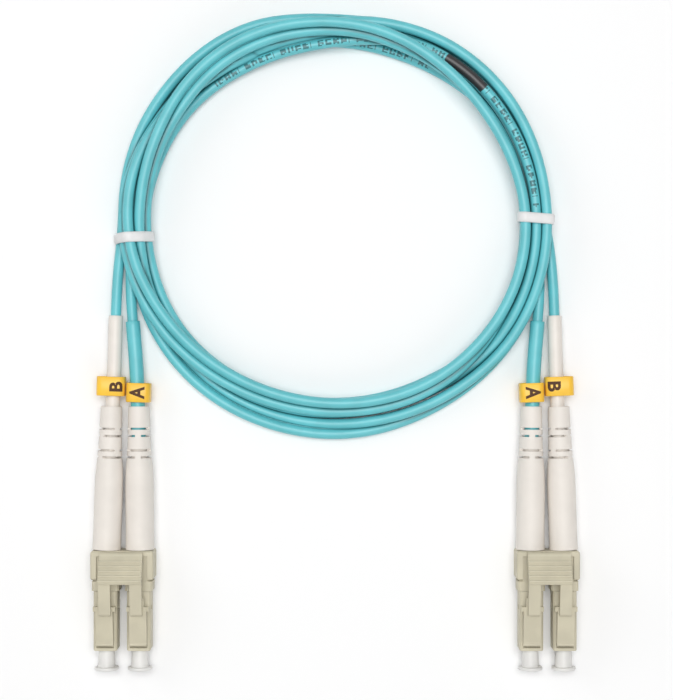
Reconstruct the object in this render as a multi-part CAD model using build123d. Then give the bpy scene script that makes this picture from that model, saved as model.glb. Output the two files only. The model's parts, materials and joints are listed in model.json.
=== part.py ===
"""Duplex LC to LC multimode fibre optic patch cord, coiled for storage. Millimetres, +Z up.

The cord lies on a flat surface at Z = 0. +X runs across the coil, +Y runs from the plugs
towards the coil, and the origin is midway between the two duplex plugs, on the surface.
Each end has two channels: channel a on the inner side and channel b on the outer side.
The left end is drawn; the right end is its mirror image about the YZ plane.
"""
from build123d import *
import math
import os

# ---- driving dimensions -------------------------------------------------------------------
PITCH = 6.25                     # distance between the two plugs of a duplex LC pair
END_X = -39.875                  # middle of the left duplex plug
AXIS_Z = 3.05                    # height of the ferrule axes above the surface
CHANNEL_X = {"a": END_X + PITCH / 2, "b": END_X - PITCH / 2}

STRAND_D = 2.0                   # one half of the zip cord
SLEEVE_D, SLEEVE_BORE = 2.7, 2.1
FIBRE_D = 0.9

# plug, along Y (the tip points to -Y)
CAP_TIP_Y, FRONT_Y, HOUSING_REAR_Y = -33.6, -29.7, -18.55
COLLAR_REAR_Y, CLIP_FRONT_Y, CLIP_REAR_Y = -16.7, -16.45, -11.0
BODY = 4.42                      # LC plug housing, square
COLLAR_W, GRIP_W, BAY_W, MOUTH_W = 5.1, 4.24, 4.44, 3.3
HOUSING_TOP = AXIS_Z + BODY / 2
FERRULE_D, FERRULE_TIP_Y, FERRULE_REAR_Y = 1.25, -32.0, -25.3
FLANGE_FRONT_Y, FLANGE_REAR_Y = -26.5, -23.6
SPRING_REAR_Y = -20.6
SPRING_WIRE, SPRING_TURNS, SPRING_R = 0.28, 5.5, 1.0
POST_REAR_Y, CRIMP_FRONT_Y, CRIMP_REAR_Y = -9.6, -11.9, -5.0

# release latch and trigger
LATCH_AXIS_Y, LATCH_AXIS_Z, LATCH_THICK, LATCH_W = -28.35, 5.85, 0.85, 3.2
LATCH_TAIL_Y, LATCH_SLOPE, LATCH_ROOT_R = -19.5, 0.22, 0.42
LUG_W, LUG_Y, LUG_LENGTH = 4.15, -21.65, 0.9
CLIP_W, CLIP_WALL, CLIP_TOP = 11.8, 0.75, 5.7
TRIGGER_W, TRIGGER_AXIS_Y, TRIGGER_AXIS_Z, TRIGGER_ROOT_R = 8.0, -11.75, 6.55, 0.65
TRIGGER_FRONT_Y, TRIGGER_FRONT_Z = -16.8, 9.7
FINGER_TIP_Y, FINGER_TIP_Z, FINGER_W = -22.8, 7.35, 2.2

# boot, sleeve and markers
BOOT_FRONT_Y, BOOT_TIP_Y = CLIP_REAR_Y, 15.9
BOOT_PROFILE = [(0.0, 2.7), (12.0, 2.65), (15.5, 2.5), (17.5, 2.32), (22.0, 2.12), (26.9, 1.98)]
BOOT_TIP_X = {"a": -36.95, "b": -42.1}
BOOT_SLOTS_Y, BOOT_SLOT_W, BOOT_BRIDGE = [11.75, 10.4, 7.7, 6.4], 0.4, 1.1
BOOT_TURN = {"a": 0.0, "b": -45.0}
SLEEVE_TIP_Y = {"a": 32.5, "b": 33.6}
MARKER_WALL, MARKER_LENGTH, MARKER_H = 0.5, 3.6, 4.1
MARKER_W = {"a": 4.6, "b": 5.35}
MARKER_X = {"a": -36.97, "b": -42.15}
MARKER_Y = {"a": 18.6, "b": 19.8}

# centre lines of the single strands between the plugs and the coil
LEG = {
    "a": [(-36.75, -9.0, 3.05), (-36.75, -3.5, 3.05), (-36.86, 5.0, 3.05), (-37.08, 15.0, 3.05),
          (-37.4, 23.5, 2.95), (-38.15, 31.5, 2.55), (-38.62, 38.0, 2.3), (-38.5, 45.0, 2.25)],
    "b": [(-43.0, -9.0, 3.05), (-43.0, -3.5, 3.05), (-42.55, 5.0, 3.05), (-41.92, 15.0, 3.05),
          (-41.55, 24.0, 2.95), (-41.38, 33.6, 2.4), (-41.1, 40.5, 1.85), (-40.5, 46.3, 1.5)],
}

# coil of the zipped cord, and the two bands that hold it
COIL_X, COIL_Y, COIL_H = 0.15, 50.0, 6.3
COIL_OUT_X, COIL_OUT_Y = 40.8, 40.2
COIL_IN_X, COIL_IN_TOP, COIL_IN_BOTTOM = 34.4, 33.5, 31.8
COIL_ROUND = 2.0
BAND_WALL, BAND_LENGTH, BAND_H = 0.5, 1.9, 6.8
BANDS = {"left_tie_band": (-37.65, 47.7, 7.3, 3.0), "right_tie_band": (38.0, 51.2, 7.1, -4.0)}


def box(x, y, z):
    """A block from its two ends along each axis."""
    size = [high - low for low, high in (x, y, z)]
    middle = [(high + low) / 2 for low, high in (x, y, z)]
    return Pos(*middle) * Box(*size)


def rod(x, y0, y1, d, d_end=None):
    """A round rod or cone along Y on the ferrule axis at x, d_end wide at y1."""
    shape = Cylinder(d / 2, y1 - y0) if d_end is None else Cone(d / 2, d_end / 2, y1 - y0)
    return Pos(x, (y0 + y1) / 2, AXIS_Z) * Rot(-90, 0, 0) * shape


def side_profile(points, x, width):
    """A plate with its outline in the YZ plane, centred on x."""
    outline = Plane.YZ * make_face(Polyline(*points, close=True))
    return Pos(x - width / 2, 0, 0) * extrude(outline, width, dir=(1, 0, 0))


def chamfer_long_edges(solid, size):
    return chamfer(solid.edges().filter_by(Axis.Y), size)


def smooth_route(points):
    """Straight runs joined by arcs as large as the two runs beside each corner allow."""
    corners = [Vector(*p) for p in points]
    radii = []
    for before, corner, after in zip(corners, corners[1:], corners[2:]):
        half_turn = math.radians((corner - before).get_angle(after - corner)) / 2
        shorter = min((corner - before).length, (after - corner).length)
        radii.append(0.45 * shorter / math.tan(half_turn))
    return FilletPolyline(*corners, radius=radii), radii


def tube_along(points, d, bore=0.0):
    """A round tube whose centre line follows the smoothed route."""
    path, radii = smooth_route(points)
    start = Plane(origin=path @ 0, z_dir=path % 0)
    ring = Circle(d / 2) - Circle(bore / 2) if bore else Circle(d / 2)
    return sweep(start * ring, path=path), path, radii


# ---- plug pieces, one function each -------------------------------------------------------
def housing(x):
    """Square front shell: bore for the dust cap and ferrule, chamber for flange and spring."""
    low, high = AXIS_Z - BODY / 2, HOUSING_TOP
    shell = box((x - BODY / 2, x + BODY / 2), (FRONT_Y, HOUSING_REAR_Y), (low, high))
    shell = chamfer_long_edges(shell, 0.3)
    shell = fillet(shell.edges().filter_by(Axis.Z).group_by(Axis.Y)[0], 0.28)
    shell -= rod(x, FRONT_Y - 1, FLANGE_FRONT_Y - 0.9, 3.3)
    shell -= rod(x, FLANGE_FRONT_Y - 1, FLANGE_FRONT_Y, 1.9)
    shell -= rod(x, FLANGE_FRONT_Y - 0.05, HOUSING_REAR_Y + 1, 3.6)
    shell -= box((x - BODY, x + BODY), (-22.2, -21.35), (AXIS_Z - 0.9, AXIS_Z + 0.9))
    root = side_profile([(FRONT_Y + 0.45, high - 0.1), (LATCH_AXIS_Y - 0.62, high + 0.75),
                         (LATCH_AXIS_Y - 0.55, high - 0.1)], x, LATCH_W)
    return shell + root


def latch(x):
    """Springy arm rooted at the front of the housing, with a lug each side near its tail."""
    def top(y):
        return LATCH_AXIS_Z - 0.1 + LATCH_SLOPE * (y - LATCH_AXIS_Y)
    y1, z0 = LATCH_TAIL_Y, LATCH_THICK
    arm = side_profile([(LATCH_AXIS_Y, LATCH_AXIS_Z - LATCH_ROOT_R), (LATCH_AXIS_Y, LATCH_AXIS_Z + 0.32),
                        (y1, top(y1)), (y1, top(y1) - z0)], x, LATCH_W)
    narrow = box((x + 1.15, x + LATCH_W), (LUG_Y + 0.45, y1 + 1), (0, 12))
    arm = arm - narrow - mirror(narrow, about=Plane.YZ.offset(x))
    arm += Pos(x, LATCH_AXIS_Y, LATCH_AXIS_Z) * Rot(0, 90, 0) * Cylinder(LATCH_ROOT_R, LATCH_W)
    lug_top = top(LUG_Y + LUG_LENGTH / 2)
    lugs = side_profile([(LUG_Y - LUG_LENGTH / 2, lug_top - z0), (LUG_Y - LUG_LENGTH / 2, lug_top - 0.25),
                         (LUG_Y + LUG_LENGTH / 2, lug_top - 0.02), (LUG_Y + LUG_LENGTH / 2, lug_top - z0)],
                        x, LUG_W)
    return arm + lugs


def rear_body(x):
    """Collar behind the housing, square grip for the duplex clip, and the crimp post."""
    low, high = AXIS_Z - BODY / 2, HOUSING_TOP
    collar = box((x - COLLAR_W / 2, x + COLLAR_W / 2), (HOUSING_REAR_Y + 0.05, COLLAR_REAR_Y), (low, high))
    collar = chamfer_long_edges(collar, 0.35)
    grip = box((x - GRIP_W / 2, x + GRIP_W / 2), (COLLAR_REAR_Y, -12.1), (low + 0.1, high - 0.1))
    grip = chamfer_long_edges(grip, 0.5)
    plug_in = rod(x, -22.3, HOUSING_REAR_Y + 0.1, 3.5)
    snaps = box((x - 2.1, x + 2.1), (-22.1, -21.45), (AXIS_Z - 0.7, AXIS_Z + 0.7))
    post = rod(x, -12.2, POST_REAR_Y, 2.3)
    bores = rod(x, -23, SPRING_REAR_Y, 2.6) + rod(x, -23, POST_REAR_Y + 1, 1.2)
    return collar + grip + plug_in + snaps + post - bores


def ferrule(x):
    """Zirconia pin with rounded tip edge."""
    pin = rod(x, FERRULE_TIP_Y, FERRULE_REAR_Y, FERRULE_D)
    return chamfer(pin.edges().group_by(Axis.Y)[0], 0.15)


def ferrule_flange(x):
    """Metal holder pressed on the ferrule: six-sided head, then a nose that guides the spring."""
    hexagon = extrude(RegularPolygon(1.45, 6), 1.0, both=True)
    head = Pos(x, FLANGE_FRONT_Y + 0.5, AXIS_Z) * Rot(-90, 0, 0) * hexagon
    head = head & box((x - 2, x + 2), (FLANGE_FRONT_Y + 0.1, -25.1), (0, 6))
    nose = rod(x, -25.2, FLANGE_REAR_Y, 1.35)
    return head + nose - rod(x, -28, FERRULE_REAR_Y, FERRULE_D) - rod(x, -26, FLANGE_REAR_Y + 1, FIBRE_D)


def ferrule_spring(x):
    """Compression spring between the flange head and the rear body."""
    length = SPRING_REAR_Y - (-25.0) - SPRING_WIRE - 0.1
    coil = Helix(pitch=length / SPRING_TURNS, height=length, radius=SPRING_R)
    wire = sweep(Plane(origin=coil @ 0, z_dir=coil % 0) * Circle(SPRING_WIRE / 2), path=coil, is_frenet=True)
    return Pos(x, -25.0 + SPRING_WIRE / 2 + 0.05, AXIS_Z) * Rot(-90, 0, 0) * wire


def crimp_sleeve(x):
    """Stepped metal sleeve: wide over the post, narrow over the jacket."""
    outside = rod(x, CRIMP_FRONT_Y, -8.4, 3.3)
    outside += rod(x, -8.4, -7.9, 3.3, 2.6)
    outside += rod(x, -7.9, CRIMP_REAR_Y, 2.6)
    return outside - rod(x, -13, -9.3, 2.4) - rod(x, -9.4, CRIMP_REAR_Y + 1, STRAND_D + 0.06)


def dust_cap(x):
    """Blind cap over the ferrule tip: sleeve, slightly flared neck and thin flange."""
    sleeve = rod(x, FRONT_Y, -27.6, 3.0)
    neck = rod(x, -33.0, FRONT_Y, 3.25, 3.0)
    flange = rod(x, CAP_TIP_Y, -32.95, 4.6)
    flange = fillet(flange.edges(), 0.25)
    return neck + sleeve + flange - rod(x, -33.0, -27, FERRULE_D + 0.2)


def duplex_clip():
    """Open-topped yoke with a bay for each rear body and a rear wall that the boots meet."""
    half = CLIP_W / 2
    shell = box((END_X - half, END_X + half), (CLIP_FRONT_Y, CLIP_REAR_Y), (0, CLIP_TOP))
    shell = fillet(shell.edges().filter_by(Axis.Z), 0.5)
    shell = chamfer(shell.faces().sort_by(Axis.Z)[-1].edges().filter_by(Axis.Y), 0.25)
    for x in CHANNEL_X.values():
        bay = box((x - BAY_W / 2, x + BAY_W / 2), (CLIP_FRONT_Y - 1, CLIP_REAR_Y - 1.0), (CLIP_WALL, 5.3))
        mouth = box((x - MOUTH_W / 2, x + MOUTH_W / 2), (CLIP_FRONT_Y - 1, CLIP_REAR_Y - 1.0),
                    (5.2, CLIP_TOP + 1))
        shell = shell - bay - mouth - rod(x, -13, -10, 3.4)
    bar = box((END_X - TRIGGER_W / 2, END_X + TRIGGER_W / 2), (-12.3, CLIP_REAR_Y), (5.2, 5.8))
    return shell + bar - box((END_X - 0.45, END_X + 0.45), (CLIP_FRONT_Y - 1, -14.2), (1.5, 7))


def release_trigger():
    """Ribbed plate rising over the latches, with one finger above each latch."""
    y0, z0, y1, z1 = TRIGGER_AXIS_Y, TRIGGER_AXIS_Z, TRIGGER_FRONT_Y, TRIGGER_FRONT_Z
    plate = side_profile([(y0, z0 + TRIGGER_ROOT_R), (y1, z1), (y1, z1 - 1.5), (y0 - 0.35, z0 - 0.5)],
                         END_X, TRIGGER_W)
    plate += Pos(END_X, y0, z0) * Rot(0, 90, 0) * Cylinder(TRIGGER_ROOT_R, TRIGGER_W)
    rise = (z1 - z0 - TRIGGER_ROOT_R) / (y1 - y0)
    for k in range(5):
        y = y0 - 1.0 - 0.85 * k
        z = z0 + TRIGGER_ROOT_R + rise * (y - y0) - 0.05
        plate += Pos(END_X, y, z) * Rot(0, 90, 0) * Cylinder(0.25, TRIGGER_W)
    plate = chamfer(plate.faces().sort_by(Axis.Y)[0].edges().filter_by(Axis.X).sort_by(Axis.Z)[-1], 0.35)
    tip, tip_z = FINGER_TIP_Y, FINGER_TIP_Z
    for side in (-1, 1):
        x = END_X + side * (TRIGGER_W - FINGER_W) / 2
        finger = side_profile([(y1 + 1.0, z1 - 0.5), (y1 - 0.1, z1 - 0.62), (tip + 0.3, tip_z + 0.8),
                               (tip, tip_z + 0.5), (tip, tip_z), (y1, z1 - 1.4), (y1 + 1.0, z1 - 1.6)],
                              x, FINGER_W)
        plate += finger
    return plate


def boot(channel):
    """Tapered strain relief that leans with the cord, cut by two pairs of crossed slots."""
    x0, x1, length = CHANNEL_X[channel], BOOT_TIP_X[channel], BOOT_TIP_Y - BOOT_FRONT_Y
    rim = [(0, s) for s in (0.0, length)]
    outside = Spline(*[(r, s) for s, r in BOOT_PROFILE])
    ends = Polyline((BOOT_PROFILE[-1][1], length), rim[1], rim[0], (BOOT_PROFILE[0][1], 0))
    face = make_face(outside + ends)
    solid = revolve(face, Axis.Y, 360)
    bore = Rot(-90, 0, 0) * Cylinder(1.95, 2 * 7.0) + Rot(-90, 0, 0) * Cylinder(1.58, 3 * length)
    solid = solid - bore
    for k, y in enumerate(BOOT_SLOTS_Y):
        gap = Box(6, BOOT_SLOT_W, 6) - (Box(6, 1, BOOT_BRIDGE) if k % 2 == 0 else Box(BOOT_BRIDGE, 1, 6))
        solid -= Pos(0, y - BOOT_FRONT_Y, 0) * gap
    solid = Rot(0, BOOT_TURN[channel], 0) * solid
    lean = math.degrees(math.atan2(x0 - x1, length))
    return Pos(x0, BOOT_FRONT_Y + 0.1, AXIS_Z) * Rot(0, 0, lean) * solid


def marker(channel):
    """Oblong plastic loop that carries the channel letter and slides along the sleeve."""
    w, h, t = MARKER_W[channel], MARKER_H, MARKER_WALL
    loop = RectangleRounded(w, h, 1.7) - RectangleRounded(w - 2 * t, h - 2 * t, 1.7 - t)
    loop = extrude(loop, MARKER_LENGTH / 2, both=True)
    loop = Rot(-90, 0, 0) * loop
    return Pos(MARKER_X[channel], MARKER_Y[channel], AXIS_Z - 0.05) * Rot(0, 0, -2) * loop


def leg_part(points, y0, y1):
    """The stretch of a leg's route between two stations along Y."""
    inside = [p for p in points if y0 + 0.5 < p[1] < y1 - 0.5]

    def at(y):
        for a, b in zip(points, points[1:]):
            if a[1] <= y <= b[1]:
                t = (y - a[1]) / (b[1] - a[1])
                return tuple(p + t * (q - p) for p, q in zip(a, b))
    return [at(y0)] + inside + [at(y1)]


def coil():
    """Outer shape of the wound cord, cut away under and over the two tie bands."""
    inner_half = (COIL_IN_TOP + COIL_IN_BOTTOM) / 2
    inner_y = (COIL_IN_TOP - COIL_IN_BOTTOM) / 2
    ring = Ellipse(COIL_OUT_X, COIL_OUT_Y) - Pos(0, inner_y) * Ellipse(COIL_IN_X, inner_half)
    solid = Pos(COIL_X, COIL_Y, 0) * extrude(ring, COIL_H)
    solid = fillet(solid.edges(), COIL_ROUND)
    for x, y, width, turn in BANDS.values():
        room = Box(width + 2, BAND_LENGTH + 0.2, 20)
        core = Rot(-90, 0, 0) * extrude(RectangleRounded(width - 2 * BAND_WALL - 0.1,
                                        BAND_H - 2 * BAND_WALL - 0.1, 1.5), BAND_LENGTH, both=True)
        place = Pos(x, y, BAND_H / 2 + 0.03) * Rot(0, 0, turn)
        solid = solid - place * (room - core)
    return solid


def tie_band(name):
    """Soft closed band round the whole bundle."""
    x, y, width, turn = BANDS[name]
    loop = RectangleRounded(width, BAND_H, 2.0) - RectangleRounded(width - 2 * BAND_WALL,
                                                                   BAND_H - 2 * BAND_WALL, 1.5)
    loop = Rot(-90, 0, 0) * extrude(loop, BAND_LENGTH / 2, both=True)
    return Pos(x, y, BAND_H / 2 + 0.03) * Rot(0, 0, turn) * loop


# ---- write every node ---------------------------------------------------------------------
def save_both_ends(name, shape):
    """The left piece, and its mirror image at the right end."""
    export_step(shape, f"parts/left_{name}.step")
    export_step(mirror(shape, about=Plane.YZ), f"parts/right_{name}.step")


os.makedirs("parts", exist_ok=True)

save_both_ends("duplex_clip", duplex_clip())
save_both_ends("release_trigger", release_trigger())
for channel, x in CHANNEL_X.items():
    route = LEG[channel]
    leg, path, radii = tube_along(route, STRAND_D)
    section = math.pi * STRAND_D ** 2 / 4
    print(f"leg {channel}: radii {[round(r) for r in radii]} mm, length {path.length:.1f} mm, "
          f"volume {leg.volume:.2f} of {section * path.length:.2f} mm3")
    sleeve_route = leg_part(route, CRIMP_REAR_Y + 0.3, SLEEVE_TIP_Y[channel])
    sleeve, path, radii = tube_along(sleeve_route, SLEEVE_D, SLEEVE_BORE)
    print(f"sleeve {channel}: radii {[round(r) for r in radii]} mm, length {path.length:.1f} mm")
    pieces = {
        "cord_leg": leg,
        "furcation_sleeve": sleeve,
        "housing": housing(x),
        "latch": latch(x),
        "rear_body": rear_body(x),
        "ferrule": ferrule(x),
        "ferrule_flange": ferrule_flange(x),
        "ferrule_spring": ferrule_spring(x),
        "fibre": rod(x, FERRULE_REAR_Y, -10.4, FIBRE_D - 0.02),
        "crimp_sleeve": crimp_sleeve(x),
        "boot": boot(channel),
        "marker": marker(channel),
        "dust_cap": dust_cap(x),
    }
    for name, shape in pieces.items():
        save_both_ends(f"{channel}_{name}", shape)

export_step(coil(), "parts/cord_coil.step")
for name in BANDS:
    export_step(tie_band(name), f"parts/{name}.step")
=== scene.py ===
"""Looks of a coiled duplex LC patch cord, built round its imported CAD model.

Metres, +Z up, in the CAD model's frame: the cord lies on a table at Z = 0, its plugs point to
-Y, and its left end is at -X. Sizes named below are in millimetres and angles in degrees, but
the legs' route points, the table, the lamps and the camera are in metres.
"""
import json
import math

import bmesh
import bpy
import numpy as np
from mathutils import Matrix, Vector, kdtree


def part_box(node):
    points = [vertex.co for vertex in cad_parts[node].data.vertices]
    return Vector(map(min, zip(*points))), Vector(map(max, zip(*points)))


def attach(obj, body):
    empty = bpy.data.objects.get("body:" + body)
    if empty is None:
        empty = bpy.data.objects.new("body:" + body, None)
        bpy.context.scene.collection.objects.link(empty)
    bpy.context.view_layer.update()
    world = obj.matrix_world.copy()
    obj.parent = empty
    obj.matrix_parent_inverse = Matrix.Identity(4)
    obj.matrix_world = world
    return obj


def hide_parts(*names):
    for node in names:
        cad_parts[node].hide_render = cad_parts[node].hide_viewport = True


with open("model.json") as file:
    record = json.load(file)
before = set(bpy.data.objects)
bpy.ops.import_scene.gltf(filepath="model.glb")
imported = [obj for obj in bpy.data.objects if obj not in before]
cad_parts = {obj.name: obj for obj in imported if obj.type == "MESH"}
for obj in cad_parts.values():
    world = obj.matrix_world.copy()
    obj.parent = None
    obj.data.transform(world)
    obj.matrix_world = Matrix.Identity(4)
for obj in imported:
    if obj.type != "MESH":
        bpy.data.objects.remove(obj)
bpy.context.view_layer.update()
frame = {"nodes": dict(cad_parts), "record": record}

MM = 0.001
ROOT = "cord_and_plugs"
SIDES = {"left": -1, "right": 1}
CHANNELS = ("a", "b")

# ---- the cord's lay -----------------------------------------------------------------------
STRAND_D = 1.96                  # each half of the zip cord
COIL_CENTRE = (0.15, 50.0)
COIL_FLATTEN = 0.985             # the coil's height along Y against its width along X
COIL_START_Y = 46.5              # a leg ends and the coil begins here
STATIONS = 36                    # points per turn
TURNS = 3.5
TIE_LIFT = 0.55                  # room for the band under the cord
SETTLE_ROUNDS = 400
PULL = (0.25, 0.02)              # share of the way back to the lay's radius and height
LATE_PULL = (0.05, 0.0)
LATE_ROUND = 350                 # the late pull starts here
SMOOTH_ROUNDS = 380              # the last rounds are not smoothed

# Route points of the single strands at the left end, from the plug to the coil, in metres.
# The right end mirrors them.
LEG = {
    "a": [(-0.03675, -0.0090, 0.00305), (-0.03675, -0.0035, 0.00305), (-0.03686, 0.0050, 0.00305),
          (-0.03708, 0.0150, 0.00305), (-0.03740, 0.0235, 0.00295), (-0.03815, 0.0315, 0.00255),
          (-0.03862, 0.0380, 0.00230), (-0.03850, 0.0450, 0.00225)],
    "b": [(-0.04300, -0.0090, 0.00305), (-0.04300, -0.0035, 0.00305), (-0.04255, 0.0050, 0.00305),
          (-0.04192, 0.0150, 0.00305), (-0.04155, 0.0240, 0.00295), (-0.04138, 0.0336, 0.00240),
          (-0.04110, 0.0405, 0.00185), (-0.04050, 0.0463, 0.00150)],
}

# Lay of the zipped pair: degrees clockwise from the left tie, radius and height of the pair's
# middle, and the twist: the direction of strand b from the middle, 0 outwards and 90 up.
LAY = [
    (0, 39.1, 1.5, 3), (10, 39.5, 1.6, 15), (20, 39.9, 1.8, 35), (30, 40.6, 2.0, 70),
    (40, 41.1, 2.0, 88), (50, 41.3, 2.0, 85), (60, 41.0, 2.0, 60), (70, 40.1, 1.9, 20),
    (80, 39.0, 2.0, -20), (90, 38.85, 2.1, -60), (100, 39.35, 2.2, -80), (110, 40.1, 2.3, -88),
    (120, 40.5, 2.5, -90), (135, 40.6, 2.9, -90), (145, 40.35, 3.5, -90), (155, 39.95, 3.9, -90),
    (165, 39.55, 4.2, -90), (180, 39.35, 4.35, -90),
    (195, 39.5, 3.9, -88), (215, 39.5, 2.4, -78), (230, 39.1, 1.9, -66), (245, 38.8, 1.6, -60),
    (255, 38.8, 1.4, -45), (265, 38.95, 1.1, -10), (285, 38.9, 1.1, 0), (310, 38.9, 1.2, -10),
    (335, 38.6, 1.3, -5), (348, 37.8, 1.6, 15),
    (360, 36.95, 2.2, 40),
    (375, 36.85, 1.9, 28), (390, 36.95, 1.5, 8), (405, 36.85, 1.3, 0), (415, 36.1, 1.5, 0),
    (425, 35.7, 1.8, 0), (435, 35.5, 2.1, -8), (445, 35.7, 2.5, -22), (455, 36.4, 2.6, -45),
    (465, 37.4, 2.6, -70), (475, 38.15, 2.6, -88), (485, 38.2, 2.7, -92), (495, 38.0, 2.8, -90),
    (505, 38.0, 3.0, -90), (515, 37.8, 3.3, -90), (525, 37.55, 3.8, -90), (540, 37.45, 4.35, -90),
    (555, 37.5, 4.0, -90), (575, 37.2, 2.9, -105), (585, 36.2, 2.2, -125), (595, 35.3, 1.7, -148),
    (605, 35.1, 1.3, -168), (615, 34.95, 1.05, -178), (625, 34.8, 1.0, -180),
    (645, 35.1, 1.0, -180), (665, 35.9, 1.1, -180), (685, 36.55, 1.6, -176),
    (695, 36.6, 2.3, -166), (705, 36.45, 3.3, -148), (712, 36.25, 4.0, -132),
    (720, 36.15, 4.4, -122),
    (735, 36.5, 4.3, -118), (745, 36.75, 4.1, -122), (755, 37.4, 3.9, -136), (765, 38.0, 3.7, -150),
    (775, 38.5, 3.6, -155), (785, 38.65, 3.6, -150), (795, 38.25, 3.8, -140), (805, 37.85, 4.1, -125),
    (815, 37.5, 4.3, -116), (825, 36.95, 4.4, -106), (835, 36.35, 4.4, -98), (845, 35.8, 4.4, -90),
    (855, 35.4, 4.35, -76), (865, 35.3, 4.3, -66), (875, 35.3, 4.25, -68), (885, 35.4, 4.2, -78),
    (900, 35.5, 4.25, -90),
    (915, 35.5, 3.9, -88), (930, 35.5, 3.5, -72), (945, 35.55, 3.2, -50), (955, 35.5, 3.0, -44),
    (965, 35.3, 2.9, -40), (975, 35.05, 2.85, -36), (985, 34.75, 2.8, -38), (995, 34.6, 2.75, -38),
    (1005, 34.7, 2.8, -35), (1015, 35.0, 2.9, -35), (1025, 35.45, 3.0, -35), (1035, 36.1, 3.1, -34),
    (1045, 36.85, 3.3, -30), (1055, 37.7, 3.6, -26), (1065, 38.4, 4.0, -35), (1075, 39.1, 4.25, -50),
    (1080, 39.4, 4.35, -56),
    (1090, 39.6, 4.2, -62), (1100, 39.4, 3.8, -72), (1110, 38.6, 3.1, -78), (1120, 37.8, 2.4, -60),
    (1135, 37.2, 1.5, -30), (1155, 36.8, 1.0, 0), (1175, 36.4, 1.0, 0), (1185, 36.1, 1.0, 0),
    (1195, 36.2, 1.0, 0), (1205, 36.5, 1.0, 0), (1215, 37.1, 1.0, 0), (1230, 38.2, 1.0, 0),
    (1245, 38.6, 1.2, 0), (1260, 38.5, 1.5, 0),
]


def lay_targets():
    """Both strands at every station: arrays of (radius, height)."""
    stations = np.arange(int(TURNS * STATIONS) + 1) * 360 / STATIONS
    degrees, *columns = np.array(LAY, float).T
    radius, height, twist = [np.interp(stations, degrees, c) for c in columns]
    kernel = np.array([1, 2, 1]) / 4
    radius, height, twist = [np.convolve(np.pad(c, 1, mode="edge"), kernel, "valid")
                             for c in (radius, height, twist)]
    half = STRAND_D / 2
    out = np.stack([half * np.cos(np.radians(twist)), half * np.sin(np.radians(twist))], axis=1)
    middle = np.stack([radius, height], axis=1)
    return stations, middle - out, middle + out


def push_apart(points, first, second, free):
    """Moves two stacks of points to at least a strand apart. Only the free ones move."""
    gap = points[second] - points[first]
    far = np.linalg.norm(gap, axis=1)
    short = np.maximum(STRAND_D - far, 0)
    step = gap / np.maximum(far, 1e-6)[:, None] * short[:, None]
    weight = free[first] + free[second]
    np.add.at(points, first, -step * (free[first] / weight)[:, None])
    np.add.at(points, second, step * (free[second] / weight)[:, None])


def keep_zipped(points, free, count):
    """Moves the two strands of every station until they just touch each other."""
    strand_a, strand_b = points[:count], points[count:]
    gap = strand_b - strand_a
    far = np.linalg.norm(gap, axis=1)
    step = gap / far[:, None] * (far - STRAND_D)[:, None] / 2 * free[:count, None]
    strand_a += step
    strand_b -= step


def smooth_drift(drift, free):
    """Evens out one strand's moves between neighbouring stations."""
    smooth = 0.5 * drift[1:-1] + 0.25 * (drift[:-2] + drift[2:])
    drift[1:-1] = np.where(free[1:-1, None] > 0, smooth, drift[1:-1])


def lowest_heights(hours):
    """Centreline heights on the table, and a little higher where a band runs underneath."""
    half_turn = STATIONS // 2
    near_tie = np.minimum(hours % half_turn, half_turn - hours % half_turn)
    return STRAND_D / 2 + TIE_LIFT * np.clip(1 - (near_tie - 0.5) / 2, 0, 1)


def settle():
    """Lets the strands lie on the table and on each other, as far as the stations can tell.

    Only strands at the same station push each other. A crossing between two stations is missed,
    and so are the legs.
    """
    stations, strand_a, strand_b = lay_targets()
    count = len(stations)
    target = np.concatenate([strand_a, strand_b])
    points = target.copy()
    hours = np.tile(np.arange(count), 2) % STATIONS
    free = np.ones(2 * count)
    free[[0, count - 1, count, 2 * count - 1]] = 0
    pairs = [(i, j) for i in range(2 * count) for j in range(i + 1, 2 * count)
             if hours[i] == hours[j] and (free[i] or free[j])]
    first, second = np.array(pairs).T
    floor = lowest_heights(hours)
    for settle_round in range(SETTLE_ROUNDS):
        pull = PULL if settle_round < LATE_ROUND else LATE_PULL
        points += np.array(pull) * (target - points) * free[:, None]
        for _ in range(3):
            push_apart(points, first, second, free)
            keep_zipped(points, free, count)
            points[:, 1] = np.where(free > 0, np.maximum(points[:, 1], floor), points[:, 1])
        if settle_round < SMOOTH_ROUNDS:
            drift = points - target
            smooth_drift(drift[:count], free[:count])
            smooth_drift(drift[count:], free[count:])
            points = target + drift
    return stations, {"a": points[:count], "b": points[count:]}


def coil_points(stations, strand):
    """A settled strand as route points in metres. A smooth spline runs a little inside them."""
    outside = 1 / (0.75 + 0.25 * math.cos(2 * math.pi / STATIONS))
    points = []
    for degrees, (radius, height) in zip(stations, strand):
        turn = math.radians(degrees)
        x = COIL_CENTRE[0] - outside * radius * math.cos(turn)
        y = COIL_CENTRE[1] + outside * radius * math.sin(turn) * COIL_FLATTEN
        points.append((x * MM, y * MM, height * MM))
    return points


def spline_line(points):
    """Points along the NURBS spline that has these route points."""
    curve = bpy.data.curves.new("route", "CURVE")
    curve.dimensions = "3D"
    spline = curve.splines.new("NURBS")
    spline.points.add(len(points) - 1)
    for place, point in zip(spline.points, points):
        place.co = (*point, 1)
    spline.order_u = 3
    spline.use_endpoint_u = True
    spline.resolution_u = 8
    holder = bpy.data.objects.new("route", curve)
    mesh = bpy.data.meshes.new_from_object(holder)
    line = np.array([v.co for v in mesh.vertices])
    bpy.data.meshes.remove(mesh)
    bpy.data.objects.remove(holder)
    bpy.data.curves.remove(curve)
    return line


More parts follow.
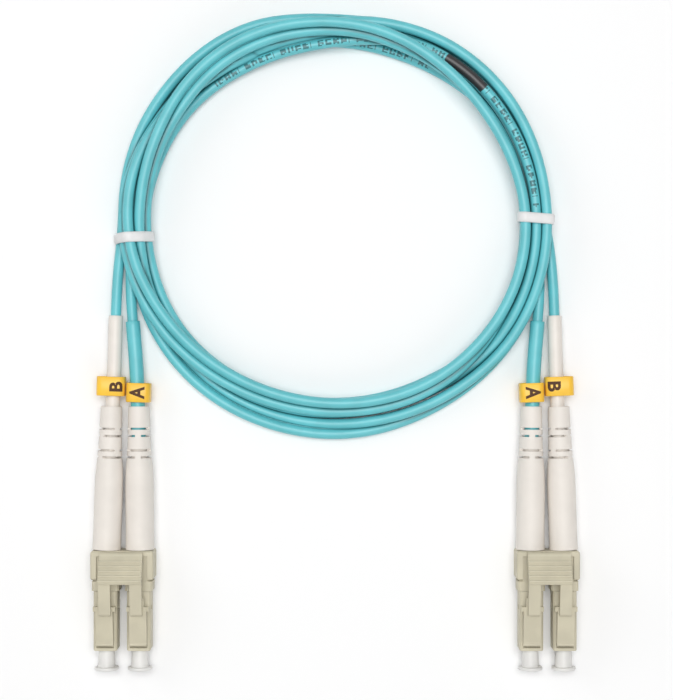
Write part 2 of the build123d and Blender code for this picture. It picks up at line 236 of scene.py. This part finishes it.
class Line:
    """A polyline that knows its length and its frame at any distance along it."""

    def __init__(self, points):
        steps = np.linalg.norm(np.diff(points, axis=0), axis=1)
        points = points[np.concatenate([[True], steps > 1e-9])]
        self.points = points
        steps = np.linalg.norm(np.diff(points, axis=0), axis=1)
        self.at = np.concatenate([[0], np.cumsum(steps)])
        self.length = self.at[-1]

    def place(self, distance):
        return np.stack([np.interp(distance, self.at, c) for c in self.points.T], axis=-1)

    def frames(self, distance):
        """Points, and the directions up and sideways across the line."""
        reach = 0.4 * MM
        ahead = self.place(np.minimum(distance + reach, self.length))
        tangent = ahead - self.place(np.maximum(distance - reach, 0))
        tangent /= np.linalg.norm(tangent, axis=1)[:, None]
        up = np.array([0, 0, 1.0]) - tangent * tangent[:, 2:]
        up /= np.linalg.norm(up, axis=1)[:, None]
        return self.place(distance), up, np.cross(tangent, up)

    def between(self, low, high):
        """The stretch whose Y lies between low and high."""
        last = int(np.argmax(self.points[:, 1] > high))
        keep = self.points[:last]
        return Line(keep[keep[:, 1] > low])


def cord_lines():
    """The whole route of each strand, from the left plug through the coil to the right plug."""
    stations, lays = settle()
    routes = {}
    for channel in CHANNELS:
        left = LEG[channel]
        right = [(-x, y, z) for x, y, z in reversed(left)]
        routes[channel] = Line(spline_line(left + coil_points(stations, lays[channel]) + right))
    return routes


lines = cord_lines()


def line_from_plug(end, channel):
    """A strand's points, starting at the plug of that end."""
    points = lines[channel].points
    return points if end == "left" else points[::-1]


def distance_at(line, degrees):
    """How far along the strand, in millimetres, a clock position of the coil is."""
    x = COIL_CENTRE[0] * MM - line.points[:, 0]
    y = (line.points[:, 1] - COIL_CENTRE[1] * MM) / COIL_FLATTEN
    on_coil = line.points[:, 1] > COIL_START_Y * MM
    turn = np.degrees(np.unwrap(np.arctan2(y, x)))
    start = int(np.argmax(on_coil))
    turn -= turn[start] - (turn[start] + 180) % 360 + 180
    return float(np.interp(degrees, turn[start:], line.at[start:])) / MM


# ---- meshes -------------------------------------------------------------------------------
TUBE_SIDES = 24
TUBE_STEP = 0.9                  # between the rings of a tube


def new_object(name, mesh, body=ROOT):
    """Puts a smooth mesh in the scene and makes it ride on a body, if it has one."""
    obj = bpy.data.objects.new(name, mesh)
    bpy.context.scene.collection.objects.link(obj)
    mesh.polygons.foreach_set("use_smooth", [True] * len(mesh.polygons))
    if body:
        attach(obj, body)
    return obj


def fix_normals(mesh):
    """Turns all the faces outwards."""
    work = bmesh.new()
    work.from_mesh(mesh)
    bmesh.ops.recalc_face_normals(work, faces=work.faces)
    work.to_mesh(mesh)
    work.free()


def skin_mesh(name, rings, closed=False):
    """A mesh through rings of points: a ring itself when closed, and capped at its ends if not."""
    count, sides = rings.shape[:2]
    faces = []
    for k in range(count if closed else count - 1):
        n = (k + 1) % count
        for j in range(sides):
            i = (j + 1) % sides
            faces.append((k * sides + j, k * sides + i, n * sides + i, n * sides + j))
    if not closed:
        faces.append(tuple(range(sides))[::-1])
        faces.append(tuple(range((count - 1) * sides, count * sides)))
    mesh = bpy.data.meshes.new(name)
    mesh.from_pydata([tuple(p) for p in rings.reshape(-1, 3)], [], faces)
    return mesh


def skin(name, rings, closed=False):
    """A piece through rings of points."""
    mesh = skin_mesh(name, rings, closed)
    fix_normals(mesh)
    return new_object(name, mesh)


def tube(name, line, profile):
    """A round skin along a line, closed at its ends. The profile lists (distance, radius).

    Its point attribute "lay" holds the distance along the line and round from the top, in
    millimetres, and a place for the crevice shade.
    """
    distance, radius = np.array(profile).T
    centre, up, across = line.frames(distance)
    turn = np.linspace(-math.pi, math.pi, TUBE_SIDES, endpoint=False)
    ring = (np.cos(turn)[None, :, None] * up[:, None, :]
            + np.sin(turn)[None, :, None] * across[:, None, :])
    mesh = skin_mesh(name, centre[:, None, :] + radius[:, None, None] * ring)
    mesh.validate()
    lay = mesh.attributes.new("lay", "FLOAT_VECTOR", "POINT")
    values = np.zeros((len(distance), TUBE_SIDES, 3), np.float32)
    values[:, :, 0] = distance[:, None] / MM
    values[:, :, 1] = turn[None, :] * radius[:, None] / MM
    lay.data.foreach_set("vector", values.ravel())
    fix_normals(mesh)
    return new_object(name, mesh)


def even_profile(length, radius, step=TUBE_STEP * MM):
    """A plain tube's profile, with a station about every step."""
    return [(d, radius) for d in np.linspace(0, length, int(length / step) + 2)]


# ---- materials ----------------------------------------------------------------------------
AQUA = (0.125, 0.55, 0.605)
# painted shade: the dark teal mixed into the jackets where strands lie close together
PAINTED_SHADE_AQUA = (0.0, 0.105, 0.12)
MARK_INK = (0.003, 0.075, 0.085)
BLOCK_INK = (0.030, 0.026, 0.027)
LETTER_INK = (0.08, 0.03, 0.008)
CREAM = (0.81, 0.76, 0.70)
CREAM_CLOUDS = (0.975, 1.015)
PLUG = (0.585, 0.54, 0.405)

# The jacket's print: blocky marks that mean nothing, on stretches given as clock positions.
PRINTS = [(410, 460), (465, 535), (1175, 1200)]
BLOCK = (483, 497)
BLOCK_HALF = 1.45                # half the dark block's width round the strand
MARK_PITCH = 1.45                # along the strand for one mark
MARK_COLUMNS = 4
MARK_HEIGHT = 1.15
MARK_ROWS = 5
MARK_FULL = 0.8                  # how strongly the worn marks cover the jacket
CELLS_LEFT_OUT = 0.45
WORD = 7.25                      # marks come in groups of five
WORD_SHARE = 0.82                # the rest of a group is a space


class Paint:
    """A node material with the few helpers that the pieces share."""

    def __init__(self, name, roughness, **sockets):
        self.mat = bpy.data.materials.new(name)
        self.mat.use_nodes = True
        self.tree = self.mat.node_tree
        self.shader = self.tree.nodes["Principled BSDF"]
        self.shader.inputs["Roughness"].default_value = roughness
        for socket, value in sockets.items():
            self.shader.inputs[socket.replace("_", " ")].default_value = value

    def node(self, kind, **settings):
        made = self.tree.nodes.new(kind)
        for key, value in settings.items():
            setattr(made, key, value)
        return made

    def link(self, out, into):
        self.tree.links.new(out, into)

    def noise(self, scale, detail=2.0):
        made = self.node("ShaderNodeTexNoise")
        made.inputs["Scale"].default_value = scale
        made.inputs["Detail"].default_value = detail
        self.link(self.node("ShaderNodeTexCoord").outputs["Object"], made.inputs["Vector"])
        return made.outputs["Fac"]

    def math(self, operation, *values):
        made = self.node("ShaderNodeMath", operation=operation)
        for socket, value in zip(made.inputs, values):
            if isinstance(value, (int, float)):
                socket.default_value = value
            else:
                self.link(value, socket)
        return made.outputs[0]

    def product(self, first, *others):
        """All the values multiplied together."""
        for other in others:
            first = self.math("MULTIPLY", first, other)
        return first

    def between(self, value, low, high):
        """1 where the value lies between the two limits, else 0."""
        return self.product(self.math("GREATER_THAN", value, low),
                            self.math("LESS_THAN", value, high))

    def ramp(self, factor, stops):
        made = self.node("ShaderNodeValToRGB")
        self.link(factor, made.inputs[0])
        elements = made.color_ramp.elements
        for k, (at, colour) in enumerate(stops):
            element = elements[k] if k < 2 else elements.new(at)
            element.position = at
            element.color = (*colour, 1)
        return made.outputs["Color"]

    def mix(self, factor, a, b):
        made = self.node("ShaderNodeMix", data_type="RGBA")
        for socket, value in ((made.inputs["Factor"], factor), (made.inputs["A"], a),
                              (made.inputs["B"], b)):
            if isinstance(value, tuple):
                socket.default_value = (*value, 1)
            else:
                self.link(value, socket)
        return made.outputs["Result"]

    def colour(self, out):
        self.link(out, self.shader.inputs["Base Color"])

    def bump(self, height, distance):
        made = self.node("ShaderNodeBump")
        made.inputs["Distance"].default_value = distance
        self.link(height, made.inputs["Height"])
        self.link(made.outputs["Normal"], self.shader.inputs["Normal"])


def shades(colour, dark, light):
    """The colour a little darker and a little lighter."""
    return tuple(c * dark for c in colour), tuple(min(c * light, 1) for c in colour)


def moulded(name, colour, roughness, mottle=(0.95, 1.04), depth=4e-6, **sockets):
    """Moulded plastic or rubber: faint clouds in its colour and a fine grain."""
    paint = Paint(name, roughness, **sockets)
    low, high = shades(colour, *mottle)
    paint.colour(paint.ramp(paint.noise(260), [(0.35, low), (0.65, high)]))
    paint.bump(paint.noise(4500, 3), depth)
    return paint.mat


def metal(name, colour, roughness):
    """Turned or drawn metal with fine marks."""
    paint = Paint(name, roughness, Metallic=1.0)
    low, high = shades(colour, 0.85, 1.1)
    paint.colour(paint.ramp(paint.noise(900), [(0.3, low), (0.7, high)]))
    paint.bump(paint.noise(9000), 2e-6)
    return paint.mat


def jacket(name, printed_line=None):
    """Satin jacket, with painted shade mixed into its colour where other strands lie near. A printed
    one has worn marks.
    """
    paint = Paint(name, 0.45, Specular_IOR_Level=0.8)
    low, high = shades(AQUA, 0.94, 1.05)
    base = paint.ramp(paint.noise(180), [(0.35, low), (0.65, high)])
    paint.bump(paint.noise(2600, 3), 5e-6)
    lay = paint.node("ShaderNodeAttribute", attribute_name="lay")
    split = paint.node("ShaderNodeSeparateXYZ")
    paint.link(lay.outputs["Vector"], split.inputs[0])
    along, round_, crevice = split.outputs
    if printed_line:
        base = paint.mix(marks(paint, along, round_, printed_line), base, MARK_INK)
        base = paint.mix(dark_block(paint, along, round_, printed_line), base, BLOCK_INK)
    # painted shade: darker teal mixed in where other strands lie close, standing in for their shade
    painted_shade = paint.product(paint.math("POWER", crevice, 1.6), 0.92)
    paint.colour(paint.mix(painted_shade, base, PAINTED_SHADE_AQUA))
    return paint.mat


def marks(paint, along, round_, line):
    """Where the small blocky marks cover the top of the strand."""
    column = paint.math("MULTIPLY", along, MARK_COLUMNS / MARK_PITCH)
    row = paint.math("MULTIPLY", paint.math("ADD", round_, MARK_HEIGHT / 2),
                     MARK_ROWS / MARK_HEIGHT)
    cell = paint.node("ShaderNodeCombineXYZ")
    paint.link(paint.math("FLOOR", column), cell.inputs["X"])
    paint.link(paint.math("FLOOR", row), cell.inputs["Y"])
    random = paint.node("ShaderNodeTexWhiteNoise", noise_dimensions="2D")
    paint.link(cell.outputs[0], random.inputs["Vector"])
    within = paint.math("FLOOR", paint.math("MODULO", column, MARK_COLUMNS))
    stem = paint.math("LESS_THAN", within, 0.5)
    not_gap = paint.math("LESS_THAN", within, MARK_COLUMNS - 1.5)
    filled = paint.math("GREATER_THAN", random.outputs["Value"], CELLS_LEFT_OUT)
    word = paint.math("LESS_THAN", paint.math("FRACT", paint.math("DIVIDE", along, WORD)),
                      WORD_SHARE)
    tall = paint.math("LESS_THAN", paint.math("ABSOLUTE", round_), MARK_HEIGHT / 2)
    where = 0.0
    for low, high in PRINTS:
        stretch = paint.between(along, distance_at(line, low), distance_at(line, high))
        where = paint.math("MAXIMUM", where, stretch)
    return paint.product(paint.math("MAXIMUM", stem, filled), not_gap, word, tall, where, MARK_FULL)


def dark_block(paint, along, round_, line):
    """Where the one solid dark block covers the strand."""
    low, high = BLOCK
    wide = paint.math("LESS_THAN", paint.math("ABSOLUTE", round_), BLOCK_HALF)
    return paint.product(paint.between(along, distance_at(line, low), distance_at(line, high)), wide)


jackets = {
    "a": jacket("aqua_jacket_printed", lines["a"]),
    "b": jacket("aqua_jacket_plain"),
}
sleeve_paint = {
    "a": moulded("aqua_sleeve", AQUA, 0.45, Specular_IOR_Level=0.8),
    "b": moulded("cream_sleeve", CREAM, 0.45, mottle=CREAM_CLOUDS),
}
paints = {
    "plug_plastic": moulded("plug_plastic", PLUG, 0.5),
    "boot_rubber": moulded("boot_rubber", CREAM, 0.55, mottle=CREAM_CLOUDS),
    "ferrule_ceramic": moulded("ferrule_ceramic", (0.85, 0.84, 0.8), 0.15, depth=1e-6),
    "plated_metal": metal("plated_metal", (0.72, 0.71, 0.69), 0.28),
    "spring_steel": metal("spring_steel", (0.5, 0.5, 0.5), 0.3),
    "crimp_metal": metal("crimp_metal", (0.66, 0.65, 0.63), 0.35),
    "marker_plastic": moulded("marker_plastic", (0.98, 0.58, 0.055), 0.38),
    "cap_plastic": moulded("cap_plastic", (0.77, 0.76, 0.735), 0.42),
    "tie_plastic": moulded("tie_plastic", (0.80, 0.80, 0.80), 0.5),
    "buffer_plastic": moulded("buffer_plastic", (0.8, 0.8, 0.76), 0.4),
    "aqua_jacket": jackets["b"],
    "aqua_sleeve": sleeve_paint["a"],
    "cream_sleeve": sleeve_paint["b"],
}
letter_ink = moulded("marker_ink", LETTER_INK, 0.7)


def paint_cad_nodes():
    slots = {part["node"]: part["material_slot"] for part in frame["record"]["subparts"]}
    for name, obj in frame["nodes"].items():
        obj.data.materials.clear()
        obj.data.materials.append(paints[slots[name]])


# ---- the two strands ----------------------------------------------------------------------
CREVICE_TOUCH = 0.05             # a skin this near another strand's surface gets the full painted shade
CREVICE_REACH = 0.75             # and one this far from it keeps its own colour
CREVICE_ABOVE = 0.35             # how much nearer a strand seems for lying higher
CREVICE_STEP = 0.8
SAME_STRETCH = 12.0              # a strand shades no point within this length of its own


def centreline_tree():
    """A search tree of both centrelines, with the strand and the distance of every point."""
    owners, distances, centres = [], [], []
    for channel in CHANNELS:
        distance = np.arange(0, lines[channel].length, CREVICE_STEP * MM)
        centres.extend(lines[channel].place(distance))
        owners.extend([channel] * len(distance))
        distances.extend(distance)
    tree = kdtree.KDTree(len(centres))
    for index, point in enumerate(centres):
        tree.insert(point, index)
    tree.balance()
    return tree, owners, distances


def shade_crevices(strands):
    """Marks how near each point of a strand is to another stretch, with 1 where they touch: how much
    painted shade its colour gets.
    """
    tree, owners, distances = centreline_tree()
    near = (STRAND_D / 2 + CREVICE_TOUCH) * MM
    far = (STRAND_D / 2 + CREVICE_REACH) * MM
    for channel, strand in strands.items():
        mesh = strand.data
        lay = np.zeros(len(mesh.vertices) * 3, np.float32)
        mesh.attributes["lay"].data.foreach_get("vector", lay)
        lay = lay.reshape(-1, 3)
        for vertex in mesh.vertices:
            own = lay[vertex.index, 0] * MM
            best = far
            for place, index, gap in tree.find_range(vertex.co, far):
                if owners[index] == channel and abs(distances[index] - own) < SAME_STRETCH * MM:
                    continue
                best = min(best, gap - CREVICE_ABOVE * (place.z - vertex.co.z))
            lay[vertex.index, 2] = min(max((far - best) / (far - near), 0), 1)
        mesh.attributes["lay"].data.foreach_set("vector", lay.ravel())


def make_strands():
    made = {}
    for channel in CHANNELS:
        line = lines[channel]
        profile = even_profile(line.length, STRAND_D / 2 * MM)
        made[channel] = tube(f"cord_strand_{channel}", line, profile)
        made[channel].data.materials.append(jackets[channel])
    shade_crevices(made)
    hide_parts("cord_coil", "left_a_cord_leg", "right_a_cord_leg")
    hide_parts("left_b_cord_leg", "right_b_cord_leg")
    return made


# ---- web between the two strands ----------------------------------------------------------
WEB_HALF_WIDE = 0.5
WEB_HALF_THICK = 0.28
WEB_STEP = 1.5                   # degrees
WEB_TAPER = 12                   # steps over which it thins out at its ends


def zipped_stretch(channel):
    """The zipped part of a strand, read at even clock steps so that both strands pair up."""
    steps = np.arange(2, TURNS * 360 - 1, WEB_STEP)
    reach = [distance_at(lines[channel], d) * MM for d in steps]
    return lines[channel].place(np.array(reach))


def make_web():
    """The thin strip of jacket that holds the zipped strands together."""
    centre_a, centre_b = [zipped_stretch(channel) for channel in CHANNELS]
    middle = (centre_a + centre_b) / 2
    toward = centre_b - centre_a
    toward /= np.linalg.norm(toward, axis=1)[:, None]
    across = np.cross(np.gradient(middle, axis=0), toward)
    across /= np.linalg.norm(across, axis=1)[:, None]
    step = np.arange(len(middle))
    taper = np.clip(np.minimum(step, step[::-1]) / WEB_TAPER, 0.05, 1)
    wide = WEB_HALF_WIDE * MM * toward
    thick = (WEB_HALF_THICK * MM * taper)[:, None] * across
    corners = [(-1, -1), (1, -1), (1, 1), (-1, 1)]
    rings = np.stack([middle + u * wide + v * thick for u, v in corners], axis=1)
    strip = skin("cord_web", rings)
    strip.data.materials.append(jackets["b"])
    return strip


# ---- tie bands ----------------------------------------------------------------------------
# Middle along X and Y, and the turn of each band about Z.
TIES = {"left_tie_band": (-37.65, 47.7, 3.0), "right_tie_band": (38.0, 51.2, -4.0)}
TIE_MIDDLE_Z = 3.4
TIE_REACH = 9.0                  # strands this far from the band's middle are held by it
TIE_STEPS = 96
TIE_LOWEST = 0.02
# Section of a band: along the cord, and outwards from the strands' surface.
TIE_SECTION = [(-0.95, 0.02), (-0.97, 0.22), (-0.82, 0.43), (-0.4, 0.5), (0.4, 0.5),
               (0.82, 0.43), (0.97, 0.22), (0.95, 0.02)]


def crossings(centre, normal):
    """Where the strands pass through a plane near its centre."""
    found = []
    for line in lines.values():
        side = (line.points - centre) @ normal
        for k in np.nonzero(side[:-1] * side[1:] < 0)[0]:
            share = side[k] / (side[k] - side[k + 1])
            point = line.points[k] + share * (line.points[k + 1] - line.points[k])
            if np.linalg.norm(point - centre) < TIE_REACH * MM:
                found.append(point)
    return np.array(found)


def tie_band(name):
    """A soft band pulled round all the strands that pass through it."""
    x, y, turn = TIES[name]
    across = np.array([math.cos(math.radians(turn)), math.sin(math.radians(turn)), 0])
    normal = np.array([-across[1], across[0], 0])
    up = np.array([0, 0, 1.0])
    centre = np.array([x, y, TIE_MIDDLE_Z]) * MM
    held = crossings(centre, normal)
    rings = []
    for angle in np.linspace(0, 2 * math.pi, TIE_STEPS, endpoint=False):
        out = math.cos(angle) * across + math.sin(angle) * up
        on_hull = held[np.argmax(held @ out)] + out * STRAND_D / 2 * MM
        on_hull -= normal * ((on_hull - centre) @ normal)
        rings.append([on_hull + normal * wide * MM + out * thick * MM
                      for wide, thick in TIE_SECTION])
    rings = np.array(rings)
    rings[:, :, 2] = np.maximum(rings[:, :, 2], TIE_LOWEST * MM)
    band = skin(name + "_lay", rings, closed=True)
    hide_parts(name)
    band.data.materials.append(paints["tie_plastic"])


# ---- sleeves, and the liners seen through the lower slots of the boots --------------------
SLEEVE_OVER = {"a": 0.1, "b": 0.35}         # past the tip of the CAD sleeve, along Y
SLEEVE_R = 1.34
SLEEVE_BORE_R = 1.05
SLEEVE_BORE_DEPTH = 1.5
SLEEVE_RIM = [(0.12, 0.0), (0.04, 0.05), (0.0, 0.13)]       # back from the tip, and inwards
LINER_Y = (-3.0, 9.0)
LINER_R = 1.5


def sleeve(end, channel):
    """The tube slipped over a single strand, open at its tip."""
    node = f"{end}_{channel}_furcation_sleeve"
    low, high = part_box(node)
    whole = Line(line_from_plug(end, channel))
    stretch = whole.between(low.y, high.y + SLEEVE_OVER[channel] * MM)
    reach = stretch.length
    profile = even_profile(reach - SLEEVE_RIM[0][0] * MM, SLEEVE_R * MM)
    profile += [(reach - back * MM, (SLEEVE_R - inward) * MM) for back, inward in SLEEVE_RIM[1:]]
    profile += [(reach, SLEEVE_BORE_R * MM), (reach - SLEEVE_BORE_DEPTH * MM, SLEEVE_BORE_R * MM)]
    made = tube(node + "_lay", stretch, profile)
    made.data.materials.append(sleeve_paint[channel])
    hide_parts(node)
    return made


def make_sleeves():
    made = {channel: [] for channel in CHANNELS}
    for end in SIDES:
        for channel in CHANNELS:
            made[channel].append(sleeve(end, channel))
    return made


def make_liners():
    for end in SIDES:
        for channel in CHANNELS:
            low, high = LINER_Y
            stretch = Line(line_from_plug(end, channel)).between(low * MM, high * MM)
            profile = even_profile(stretch.length, LINER_R * MM, 1.0 * MM)
            liner = tube(f"{end}_{channel}_boot_liner", stretch, profile)
            liner.data.materials.append(paints["boot_rubber"])


# ---- markers and their letters ------------------------------------------------------------
MARKER_LENGTH = 3.6
MARKER_LEAN = 2.0                # degrees outwards from the plug's axis
MARKER_ROUND = 1.15
MARKER_STEPS = 96
# Section of the loop's wall: in marker lengths along it, and outwards from its surface.
MARKER_RIM = [(-0.5, -0.1), (-0.47, -0.02), (0.47, -0.02), (0.5, -0.1), (0.5, -0.4),
              (0.46, -0.5), (-0.46, -0.5), (-0.5, -0.4)]
# Each letter's text, shift towards X = 0, height and width.
LETTERS = {"a": ("A", -0.15, 2.85, 2.35), "b": ("B", 1.1, 2.45, 1.9)}
LETTER_WEIGHT = 0.035
LETTER_CUTS = 14                 # strips a letter is cut into, so that it can bend


def marker_loop(end, channel):
    """The oblong loop with softened rims, where the CAD model has it."""
    node = f"{end}_{channel}_marker"
    low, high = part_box(node)
    middle = (low + high) / 2
    lean = math.radians(MARKER_LEAN * SIDES[end])
    width = ((high.x - low.x) / MM - MARKER_LENGTH * math.sin(abs(lean))) / math.cos(lean)
    height = (high.z - low.z) / MM
    half = np.array([width / 2 - MARKER_ROUND, height / 2 - MARKER_ROUND])
    rings = []
    for angle in np.linspace(0, 2 * math.pi, MARKER_STEPS, endpoint=False):
        out = np.array([math.cos(angle), math.sin(angle)])
        core = half * np.sign(out.round(6))
        ring = []
        for along, outward in MARKER_RIM:
            x, z = core + out * (MARKER_ROUND + outward)
            ring.append((x, along * MARKER_LENGTH, z))
        rings.append(ring)
    spin = np.array(Matrix.Rotation(lean, 3, "Z"))
    rings = np.array(rings) * MM @ spin.T + np.array(middle)
    loop = skin(node + "_loop", rings, closed=True)
    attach(loop, f"{end}_{channel}_marker_loop")
    loop.data.materials.append(paints["marker_plastic"])
    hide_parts(node)
    return middle, width, height, lean


def letter_shape(text, tall, wide):
    """A flat letter of the built-in font, cut into strips: its mesh and its working copy."""
    font = bpy.data.curves.new("letter", "FONT")
    font.body = text
    font.offset = LETTER_WEIGHT
    font.resolution_u = 6
    holder = bpy.data.objects.new("letter", font)
    mesh = bpy.data.meshes.new_from_object(holder)
    bpy.data.objects.remove(holder)
    work = bmesh.new()
    work.from_mesh(mesh)
    spots = np.array([v.co for v in work.verts])
    low, high = spots.min(0), spots.max(0)
    for v in work.verts:
        v.co.x = ((v.co.x - low[0]) / (high[0] - low[0]) - 0.5) * wide
        v.co.y = ((v.co.y - low[1]) / (high[1] - low[1]) - 0.5) * tall
        v.co.z = 0
    for cut in np.linspace(-tall / 2, tall / 2, LETTER_CUTS + 1)[1:-1]:
        bmesh.ops.bisect_plane(work, geom=work.verts[:] + work.edges[:] + work.faces[:],
                               plane_co=(0, cut, 0), plane_no=(0, 1, 0))
    return mesh, work


def letter(end, channel, middle, width, height, lean):
    """The channel letter, bent over the marker, with its top turned away from X = 0."""
    text, shift, tall, wide = LETTERS[channel]
    side = SIDES[end]
    mesh, work = letter_shape(text, tall, wide)
    for v in work.verts:
        x = side * v.co.y - side * shift
        y = -side * v.co.x
        past = max(abs(x) - (width / 2 - MARKER_ROUND), 0)
        drop = MARKER_ROUND - math.sqrt(MARKER_ROUND ** 2 - min(past, MARKER_ROUND) ** 2)
        v.co = (x * MM, y * MM, (height / 2 - drop) * MM)
    work.to_mesh(mesh)
    work.free()
    mesh.transform(Matrix.Translation(middle) @ Matrix.Rotation(lean, 4, "Z"))
    body = f"{end}_{channel}_marker_loop"
    obj = new_object(f"{end}_{channel}_letter", mesh, body)
    obj.data.materials.append(letter_ink)


# ---- each strand's path, sampled but left unused ------------------------------------------
def declare_cords():
    for channel in CHANNELS:
        line = lines[channel]
        path = line.place(np.linspace(0, line.length, 700))
        tuple(line.place(0.0))


# ---- table, light and camera, in metres ---------------------------------------------------
TABLE_HALF = 3.0
TABLE_WHITE = (0.95, 0.95, 0.95, 1)
WORLD_LIGHT = 0.3
LAMP_SIZE = 0.5
LAMP_TARGET = (0.0, 0.03, 0.0)
LAMPS = {"over": ((0.0, 0.10, 0.75), 3.9), "left": ((-0.7, 0.35, 0.5), 1.1),
         "front": ((0.3, -0.6, 0.5), 0.9)}
LENS = 90.1
CAMERA_AT = (0.00026, 0.0266, 0.333)        # it looks straight down


def make_table():
    corners = [(-1, -1), (1, -1), (1, 1), (-1, 1)]
    table = bpy.data.meshes.new("table")
    table.from_pydata([(x * TABLE_HALF, y * TABLE_HALF, 0) for x, y in corners], [], [(0, 1, 2, 3)])
    floor = new_object("table", table, body=None)
    floor.data.materials.append(Paint("table_white", 0.8, Base_Color=TABLE_WHITE).mat)


def soft_light(name, place, power):
    light = bpy.data.lights.new(name, "AREA")
    light.shape = "DISK"
    light.size = LAMP_SIZE
    light.energy = power
    obj = bpy.data.objects.new(name, light)
    obj.location = place
    aim = Vector(LAMP_TARGET) - Vector(place)
    obj.rotation_euler = aim.to_track_quat("-Z", "Y").to_euler()
    bpy.context.scene.collection.objects.link(obj)


def studio():
    world = bpy.data.worlds.new("studio")
    world.use_nodes = True
    world.node_tree.nodes["Background"].inputs[0].default_value = (1, 1, 1, 1)
    world.node_tree.nodes["Background"].inputs[1].default_value = WORLD_LIGHT
    bpy.context.scene.world = world
    bpy.context.scene.view_settings.view_transform = "Standard"
    for name, (place, power) in LAMPS.items():
        soft_light(name, place, power)


def camera():
    lens = bpy.data.cameras.new("camera")
    lens.lens = LENS
    lens.clip_start = 0.01
    obj = bpy.data.objects.new("camera", lens)
    obj.location = CAMERA_AT
    bpy.context.scene.collection.objects.link(obj)
    bpy.context.scene.camera = obj


# ---- the whole scene ----------------------------------------------------------------------
strands = make_strands()
web_strip = make_web()
for tie in TIES:
    tie_band(tie)
sleeves = make_sleeves()
make_liners()
paint_cad_nodes()
for end in SIDES:
    for channel in CHANNELS:
        letter(end, channel, *marker_loop(end, channel))
declare_cords()
make_table()
studio()
camera()
